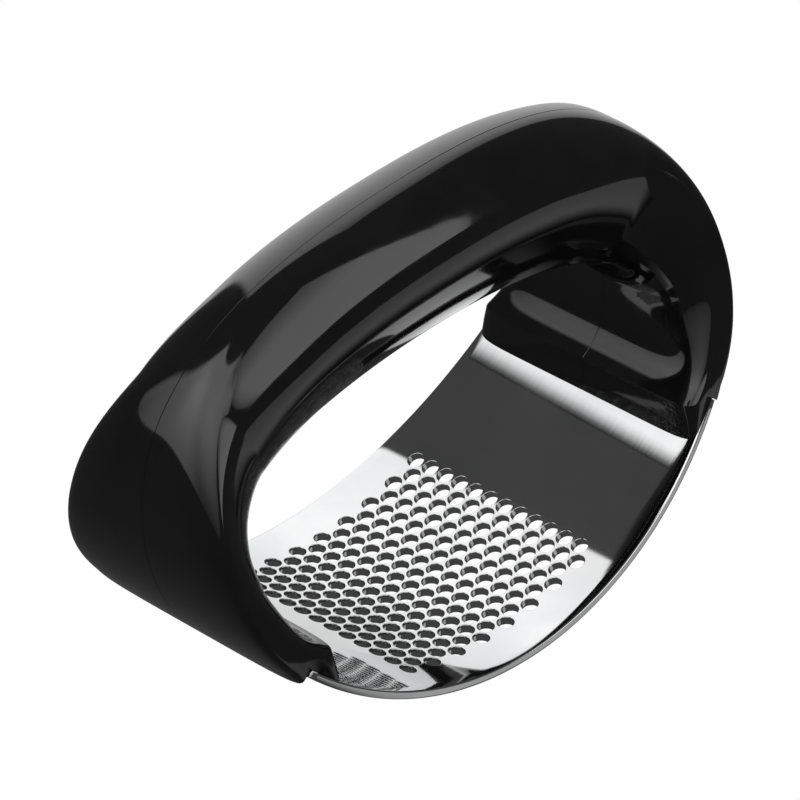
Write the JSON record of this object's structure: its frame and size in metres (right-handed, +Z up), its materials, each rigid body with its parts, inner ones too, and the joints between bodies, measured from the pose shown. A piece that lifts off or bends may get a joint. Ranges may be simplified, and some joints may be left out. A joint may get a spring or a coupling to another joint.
{
  "type": "rocker garlic press",
  "caption": "Rocking garlic press: a cradle-shaped perforated steel plate held at both ends by a closed black plastic palm loop.",
  "frame": {"origin": "lowest point of the press plate's under side, midway along and across the tool, which is where it touches the board", "axes": "+X along the palm loop, +Y across it towards the rear shell, +Z up from the plate to the grip"},
  "size_m": [0.0868, 0.041, 0.0587],
  "materials": {
    "polished_steel": "mirror-polished stainless steel sheet",
    "black_plastic": "glossy injection-moulded black plastic"
  },
  "bodies": {
    "root": {"press_plate": "polished_steel", "handle_front_shell": "black_plastic", "handle_rear_shell": "black_plastic"}
  },
  "joints": []
}
